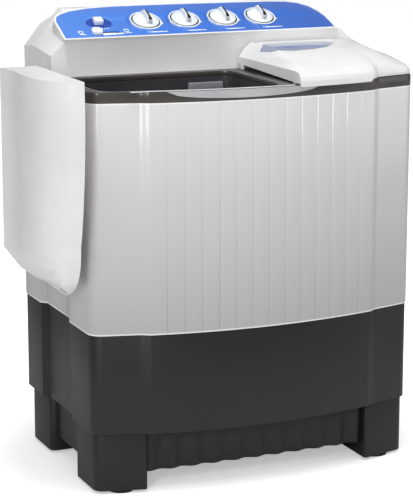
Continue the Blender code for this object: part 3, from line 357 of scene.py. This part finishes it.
bpy.ops.object.select_all(action="DESELECT")
bpy.ops.mesh.primitive_plane_add(size=1, location=(0, 0, 0))
floor = bpy.context.active_object
floor.name = "studio_floor"
floor.scale = (16, 16, 1)
bpy.ops.object.transform_apply(location=True, rotation=True, scale=True)
floor_finish, floor_tree, floor_shader, floor_place = new_finish("pale_floor", 0.0, 0.9)
floor_cloud = add_node(floor_tree, "ShaderNodeTexNoise", values={"Scale": 3.0},
                       links={"Vector": floor_place})
floor_tone = add_node(floor_tree, "ShaderNodeValToRGB", links={"Fac": floor_cloud.outputs["Fac"]})
ramp_colours(floor_tone, [(0.3, "fbfbfb"), (0.7, "ffffff")])
floor_tree.links.new(floor_tone.outputs["Color"], floor_shader.inputs["Base Color"])
floor_shader.inputs["Emission Color"].default_value = (1, 1, 1, 1)
far_off = add_node(floor_tree, "ShaderNodeVectorMath", {"operation": "LENGTH"}, links={0: floor_place})
floor_eye = add_node(floor_tree, "ShaderNodeLightPath")
floor_glow = add_node(floor_tree, "ShaderNodeMapRange",
                      values={"From Min": 0.40, "From Max": 0.9, "To Min": 0.42, "To Max": 1.0},
                      links={"Value": far_off.outputs["Value"]})
seen_glow = add_node(floor_tree, "ShaderNodeMath", {"operation": "MULTIPLY"},
                     links={0: floor_glow.outputs["Result"], 1: floor_eye.outputs["Is Camera Ray"]})
floor_tree.links.new(seen_glow.outputs["Value"], floor_shader.inputs["Emission Strength"])
floor.data.materials.append(floor_finish)

# %% [markdown]
# ## Finished edges
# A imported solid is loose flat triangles, good for fitting and poor for light. A copy is welded, its
# flat triangles are merged, and its edges get the small radius that a mould or a press leaves, which
# catches a thin highlight. The copy stands for the solid and rides on the same body.

# %% The skin helper
def deselect_all():
    if bpy.context.mode != "OBJECT":
        bpy.ops.object.mode_set(mode="OBJECT")
    bpy.ops.object.select_all(action="DESELECT")


def make_active(piece):
    deselect_all()
    piece.select_set(True)
    bpy.context.view_layer.objects.active = piece


def skin_of(node, finish, radius_mm=0.0, crease_angle=32, flat_angle=0.4):
    """A welded, softened copy of a CAD node. Faces within flat_angle degrees of one plane are merged."""
    solid = frame["nodes"][node]
    skin = bpy.data.objects.new(f"{node}_skin", solid.data.copy())
    bpy.context.scene.collection.objects.link(skin)
    skin.data.materials.clear()
    make_active(skin)
    bpy.ops.object.mode_set(mode="EDIT")
    bpy.ops.mesh.select_all(action="SELECT")
    bpy.ops.mesh.remove_doubles(threshold=0.00002)
    bpy.ops.mesh.customdata_custom_splitnormals_clear()
    bpy.ops.mesh.dissolve_limited(angle_limit=radians(flat_angle))
    bpy.ops.object.mode_set(mode="OBJECT")
    if radius_mm:
        rounding = skin.modifiers.new("moulded edge", "BEVEL")
        rounding.width = radius_mm / 1000
        rounding.segments = 2
        rounding.limit_method = "ANGLE"
        rounding.angle_limit = radians(40)
        bpy.ops.object.modifier_apply(modifier=rounding.name)
    bpy.ops.object.shade_smooth_by_angle(angle=radians(crease_angle))
    skin.data.materials.append(finish)
    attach(skin, solid["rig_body"])
    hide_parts(node)
    return skin


# Node, finish, edge radius in mm, and where they differ its crease angle and its flat angle.
skin_list = (
    ("cabinet_shell", grey_enamel, 0.5), ("base_shell", charcoal_pp, 1.0), ("plinth", skirt_pp, 0.8),
    ("top_frame", band_abs, 1.2, 24), ("console_housing", white_abs), ("fascia", fascia_blue, 0.3),
    ("wash_lid", lid_abs, 0.0, 40, 0.03), ("spin_lid", lid_abs, 0.0, 20), ("water_lever", knob_abs, 0.6),
    ("mode_slider", knob_abs, 0.8), ("wash_timer_knob", knob_abs), ("wash_selector_knob", knob_abs),
    ("drain_selector_knob", knob_abs), ("spin_timer_knob", knob_abs), ("wash_tub", shaded_tub_pp),
    ("pulsator", white_abs), ("spin_window", window_lens), ("lint_filter", tub_pp, 0.4),
)
skins = {entry[0]: skin_of(*entry) for entry in skin_list}
print("skins:", len(skins))

# %% [markdown]
# ## Finishes on the plain solids
# The works inside and behind keep their own shapes and only need the right surface.

# %% Finishes for the other nodes
solid_finishes = {
    "rear_cover": zinc_steel, "rear_screw_1": zinc_steel, "rear_screw_2": zinc_steel,
    "rear_screw_3": zinc_steel, "rear_screw_4": zinc_steel, "base_plate": zinc_steel,
    "foot_pad_front_left": black_rubber, "foot_pad_front_right": black_rubber,
    "foot_pad_back_left": black_rubber, "foot_pad_back_right": black_rubber, "front_rim": white_abs,
    # the grip strip's silver is a painted reflection of light in its concave scoop
    "grip_strip": silver_abs_and_painted_reflection, "wash_timer_clockwork": cast_aluminium, "wash_selector_switch": black_abs_and_painted_shade,
    "drain_selector_switch": black_abs_and_painted_shade, "spin_timer_clockwork": cast_aluminium, "water_inlet": white_abs,
    "lid_rail_back": zinc_steel, "lid_carrier": drawn_steel, "lid_bracket_back": drawn_steel,
    "lid_bracket_front": drawn_steel, "spin_lug_left": white_abs, "spin_lug_right": white_abs,
    "spin_hinge_rod": drawn_steel, "pulsator_shaft": drawn_steel, "bearing_housing": cast_aluminium,
    "wash_pulley": cast_aluminium, "wash_motor": motor_enamel, "wash_motor_pulley": cast_aluminium,
    "drive_belt": belt_rubber, "drain_valve": white_abs, "drain_hose": black_rubber,
    "spin_outer_tub": tub_pp, "spin_basket": perforated_steel, "spin_shaft": drawn_steel,
    "spin_seal": black_rubber, "brake_disc": cast_aluminium, "spin_motor": motor_enamel,
    "spin_spring_1": drawn_steel, "spin_spring_2": drawn_steel, "spin_spring_3": drawn_steel,
    "cord_gland": black_rubber,
}
skin_finishes = {entry[0]: entry[1] for entry in skin_list}
for node, solid in frame["nodes"].items():
    solid.data.materials.clear()
    solid.data.materials.append(skin_finishes[node] if node in skins else solid_finishes[node])
print("finished solids:", len(solid_finishes))

# %% [markdown]
# ## A frame on the sloping panel
# The panel's trim is easiest to place in the panel's own directions: along it, up its slope and out
# of its face. The knobs' joints give that frame: each axis is the panel's normal.

# %% Panel frame
normal = Vector(joints["wash_timer_turn"]["axis"]).normalized()
slope = atan2(-normal.y, normal.z)
panel_turn = Matrix.Rotation(slope, 4, "X")
knob_names = ("wash_timer", "wash_selector", "drain_selector", "spin_timer")
knob_places = {name: Vector(joints[f"{name}_turn"]["pos_m"]) for name in knob_names}


def set_in_panel(piece, origin):
    """Lay a piece that was modelled round the world's origin onto the panel at origin."""
    piece.data.transform(Matrix.Translation(origin) @ panel_turn)
    piece.data.update()


def new_piece(name, finish):
    """Name the active object, smooth it and give it its finish."""
    piece = bpy.context.active_object
    piece.name = name
    piece.data.name = name
    bpy.ops.object.shade_smooth_by_angle(angle=radians(40))
    piece.data.materials.clear()
    piece.data.materials.append(finish)
    return piece


print("panel slope", round(slope * 180 / pi, 2))

# %% [markdown]
# ## Knob rings
# Each knob turns inside a raised white ring with a small pointer tick on its right. A torus is
# pressed flat, and the vertices near the tick are drawn outwards to a point.

# %% Rings with their ticks
RING_RADIUS = 0.0346
TICK_ANGLE = radians(-24)
for name, place in knob_places.items():
    deselect_all()
    bpy.ops.mesh.primitive_torus_add(major_segments=72, minor_segments=8, major_radius=RING_RADIUS,
                                     minor_radius=0.0018, location=(0, 0, 0))
    ring = bpy.context.active_object
    bpy.ops.object.mode_set(mode="EDIT")
    bpy.ops.transform.resize(value=(1, 1, 0.7))
    bpy.ops.object.mode_set(mode="OBJECT")
    for vertex in ring.data.vertices:
        angle = atan2(vertex.co.y, vertex.co.x)
        pull = max(0.0, 1 - abs(angle - TICK_ANGLE) / 0.12)
        outwards = Vector((vertex.co.x, vertex.co.y, 0)).normalized()
        if vertex.co.xy.length > RING_RADIUS:
            vertex.co += outwards * 0.0046 * pull
    ring = new_piece(f"{name}_ring", knob_abs)
    set_in_panel(ring, place + normal * 0.0008)
    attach(ring, "cabinet")
print("rings at", [round(place.x, 3) for place in knob_places.values()])

# %% [markdown]
# ## Painted shade in the grooves round the knobs
# Between the knob's skirt and its ring the panel is sunk, and the shade in that gap is painted: a flat
# black ring lies in it, made from a disc whose middle is inset and taken away.

# %% Painted shade rings in the grooves
for name, place in knob_places.items():
    deselect_all()
    bpy.ops.mesh.primitive_circle_add(vertices=64, radius=0.0328, fill_type="NGON", location=(0, 0, 0))
    bpy.ops.object.mode_set(mode="EDIT")
    bpy.ops.mesh.select_all(action="SELECT")
    bpy.ops.mesh.inset(thickness=0.0040)
    bpy.ops.mesh.delete(type="FACE")
    bpy.ops.mesh.select_all(action="SELECT")
    bpy.ops.mesh.extrude_region_move(TRANSFORM_OT_translate={"value": (0, 0, 0.0004)})
    bpy.ops.mesh.select_all(action="SELECT")
    bpy.ops.mesh.normals_make_consistent(inside=False)
    bpy.ops.object.mode_set(mode="OBJECT")
    # a flat black ring of painted shade in the sunk groove
    groove_shade = new_piece(f"{name}_groove", black_abs_and_painted_shade)
    set_in_panel(groove_shade, place + normal * 0.0002)
    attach(groove_shade, "cabinet")
print("grooves done")

# %% [markdown]
# ## Pointer blades
# The right slope of each grip carries a black blade from its far end to its near end, and a pale tip
# runs on down the near end. A thin slab is cut into a grid, drawn narrower towards its far end and
# laid over the grip: it follows the grip's side slope, or its end where that is lower.

# %% Blades on the grips
# the grip's outline seen from its side, as (distance along it, height), from its near end to its far end
grip_profile = [(-0.0246, 0.0), (-0.0235, 0.0080), (-0.0190, 0.0165), (-0.0120, 0.0220),
                (0.0120, 0.0220), (0.0190, 0.0165)]


def grip_height(y):
    """The height of the grip's lengthwise profile at y."""
    for (y0, z0), (y1, z1) in zip(grip_profile, grip_profile[1:]):
        if y <= y1:
            break
    return z0 + (z1 - z0) * (y - y0) / (y1 - y0)


def blade(name, low, high, finish, place, taper):
    deselect_all()
    bpy.ops.mesh.primitive_cube_add(size=1, location=(0, 0, 0))
    slab = bpy.context.active_object
    bpy.ops.object.mode_set(mode="EDIT")
    bpy.ops.transform.resize(value=(0.0078, high - low, 0.0010))
    bpy.ops.mesh.subdivide(number_cuts=14)
    bpy.ops.object.mode_set(mode="OBJECT")
    for vertex in slab.data.vertices:
        far = vertex.co.y / (high - low) + 0.5
        x = 0.0019 + vertex.co.x * (1 - taper * far ** 2)
        y = vertex.co.y + (low + high) / 2
        side_slope = 0.0215 - 0.53 * (x + 0.0025)
        raised = 0.0002 + vertex.co.z
        forward = raised * max(0.0, -y - 0.012) / 0.012
        vertex.co = (x, y - forward, min(side_slope, grip_height(y)) + raised)
    slab = new_piece(name, finish)
    set_in_panel(slab, place)
    return slab


for name, place in knob_places.items():
    dark = blade(f"{name}_blade", -0.0196, 0.0175, black_abs_and_painted_shade, place, 0.15)
    tip = blade(f"{name}_blade_tip", -0.0244, -0.0200, silver_abs_and_painted_reflection, place, 0.0)
    for piece, finish_slot in ((dark, "band_grey"), (tip, "trim_silver")):
        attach(piece, f"{name}_knob")
print("blades done")


# %% [markdown]
# ## Printed arcs, legends and signs
# Printed marks are very thin raised ink, so they show from any side. Each is a bent strip or a small
# bar. They are plain signs, with no letters. The same strips also paint light: a navy arc beside each
# knob ring is a painted shadow, and pale arcs on the fill lever's well are painted highlights.

# %% Ink helpers
def ink_and_painted_light_arc(name, centre, radius, width, start, end, finish, thick=0.0003):
    """A thin strip for print ink and for painted shadows and highlights, bent into an arc between two
    angles in degrees and drawn in at its ends.
    """
    deselect_all()
    bpy.ops.mesh.primitive_grid_add(x_subdivisions=28, y_subdivisions=1, size=1, location=(0, 0, 0))
    strip = bpy.context.active_object
    bpy.ops.object.mode_set(mode="EDIT")
    bpy.ops.mesh.select_all(action="SELECT")
    bpy.ops.mesh.extrude_region_move(TRANSFORM_OT_translate={"value": (0, 0, thick)})
    bpy.ops.object.mode_set(mode="OBJECT")
    for vertex in strip.data.vertices:
        along = vertex.co.x + 0.5
        angle = radians(end + (start - end) * along)
        drawn_in = 1.0 if end - start == 360 else min(1.0, 0.35 + 6 * min(along, 1 - along))
        reach = radius + vertex.co.y * width * drawn_in
        vertex.co = (reach * cos(angle), reach * sin(angle), vertex.co.z)
    make_active(strip)
    bpy.ops.object.mode_set(mode="EDIT")
    bpy.ops.mesh.select_all(action="SELECT")
    bpy.ops.mesh.remove_doubles(threshold=0.00001)
    bpy.ops.mesh.normals_make_consistent(inside=False)
    bpy.ops.object.mode_set(mode="OBJECT")
    strip = new_piece(name, finish)
    set_in_panel(strip, centre + normal * 0.0002)
    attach(strip, "cabinet")
    return strip


def ink_bar(name, centre, length, height, finish, thick=0.0003, point=0.0):
    """A short bar of ink, with one end drawn to a point when point is above 0."""
    deselect_all()
    bpy.ops.mesh.primitive_cube_add(size=1, location=(0, 0, 0))
    bar = bpy.context.active_object
    bpy.ops.object.mode_set(mode="EDIT")
    bpy.ops.transform.resize(value=(length, height, thick))
    bpy.ops.mesh.subdivide(number_cuts=2)
    bpy.ops.object.mode_set(mode="OBJECT")
    for vertex in bar.data.vertices:
        far = vertex.co.x / length + 0.5
        vertex.co.y *= 1 - point * far
    bar = new_piece(name, finish)
    set_in_panel(bar, centre + normal * (0.0002 + thick / 2))
    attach(bar, "cabinet")
    return bar


up_slope = Vector((0, cos(slope), sin(slope)))
print("ink helpers ready")

# %% Marks round the knobs
for name, place in knob_places.items():
    ink_and_painted_light_arc(f"{name}_arc", place, 0.0392, 0.0016, 190, 238, knob_abs)
    # the navy arc is a painted shadow beside the ring
    ink_and_painted_light_arc(f"{name}_shadow_arc", place, 0.0425, 0.0012, 150, 205, navy_abs_and_painted_shadow)
    legend = place - up_slope * 0.0475
    ink_bar(f"{name}_legend", legend + Vector((0.016, 0, 0)), 0.040, 0.0046, knob_abs, point=0.5)
    ink_bar(f"{name}_legend_sign", legend - Vector((0.0085, 0, 0)), 0.008, 0.0066, sky_abs_and_painted_highlight)
print("knob marks done")

# %% [markdown]
# ## The fill lever's well
# The lever stands in an oval well with a dark floor and a moulded lip on its upper right, where it
# catches the light. The floor is a thin oval disc, and the lip's brightness is a painted highlight, an
# arc of paler ink. The slider's pale track lies just below its slot, clear of the slider's pin.

# %% Well floor and the painted highlights on its lips
KNOB_UP, LEVER_UP, SLIDER_UP = 0.059, 0.058, 0.0185      # distances up the slope from the panel's foot
timer = knob_places["wash_timer"]


def panel_place(node, up):
    """The point of the panel's face under a node's middle, at a distance up the slope."""
    low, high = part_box(node)
    return timer + Vector(((low.x + high.x) / 2 - timer.x, 0, 0)) + up_slope * (up - KNOB_UP)


lever_place = panel_place("water_lever", LEVER_UP)
slider_place = panel_place("mode_slider", SLIDER_UP)
well_place = lever_place + Vector((0.003, 0, 0))

deselect_all()
bpy.ops.mesh.primitive_circle_add(vertices=48, radius=1, fill_type="NGON", location=(0, 0, 0))
bpy.ops.object.mode_set(mode="EDIT")
bpy.ops.transform.resize(value=(0.0295, 0.0207, 1))
bpy.ops.mesh.extrude_region_move(TRANSFORM_OT_translate={"value": (0, 0, 0.0002)})
bpy.ops.mesh.select_all(action="SELECT")
bpy.ops.mesh.normals_make_consistent(inside=False)
bpy.ops.object.mode_set(mode="OBJECT")
well_floor = new_piece("lever_well_floor", navy_abs_and_painted_shadow)
set_in_panel(well_floor, well_place - normal * 0.00118)
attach(well_floor, "cabinet")
# both lip arcs are painted highlights where the well's moulded lip catches the light
ink_and_painted_light_arc("lever_well_lip_highlight", well_place - up_slope * 0.006, 0.0325, 0.0022, 12, 78, sky_abs_and_painted_highlight)
top_lip_highlight_place = lever_place + Vector((-0.004, 0, 0)) - up_slope * 0.002
ink_and_painted_light_arc("lever_well_top_lip_highlight", top_lip_highlight_place, 0.0255, 0.0016, 82, 124, sky_abs_and_painted_highlight)
track_place = slider_place + Vector((0.037, 0, 0)) - up_slope * 0.0076
ink_bar("slider_track", track_place, 0.050, 0.0088, knob_abs, point=0.45)
for i in range(3):
    mark = slider_place + Vector((0.018 + 0.0065 * i, 0, 0)) + up_slope * 0.0155
    ink_bar(f"slider_mark_{i + 1}", mark, 0.0035, 0.0035, knob_abs)
for side, offset_x in (("left", -0.036), ("right", 0.070)):
    sign = slider_place + Vector((offset_x, 0, 0))
    ink_and_painted_light_arc(f"{side}_sign_loop", sign + up_slope * 0.004, 0.0052, 0.0024, 0, 360, knob_abs)
    foot = sign - up_slope * 0.0058 + Vector((0.003, 0, 0))
    ink_bar(f"{side}_sign_foot", foot, 0.014, 0.0028, knob_abs)
print("well and slider done")
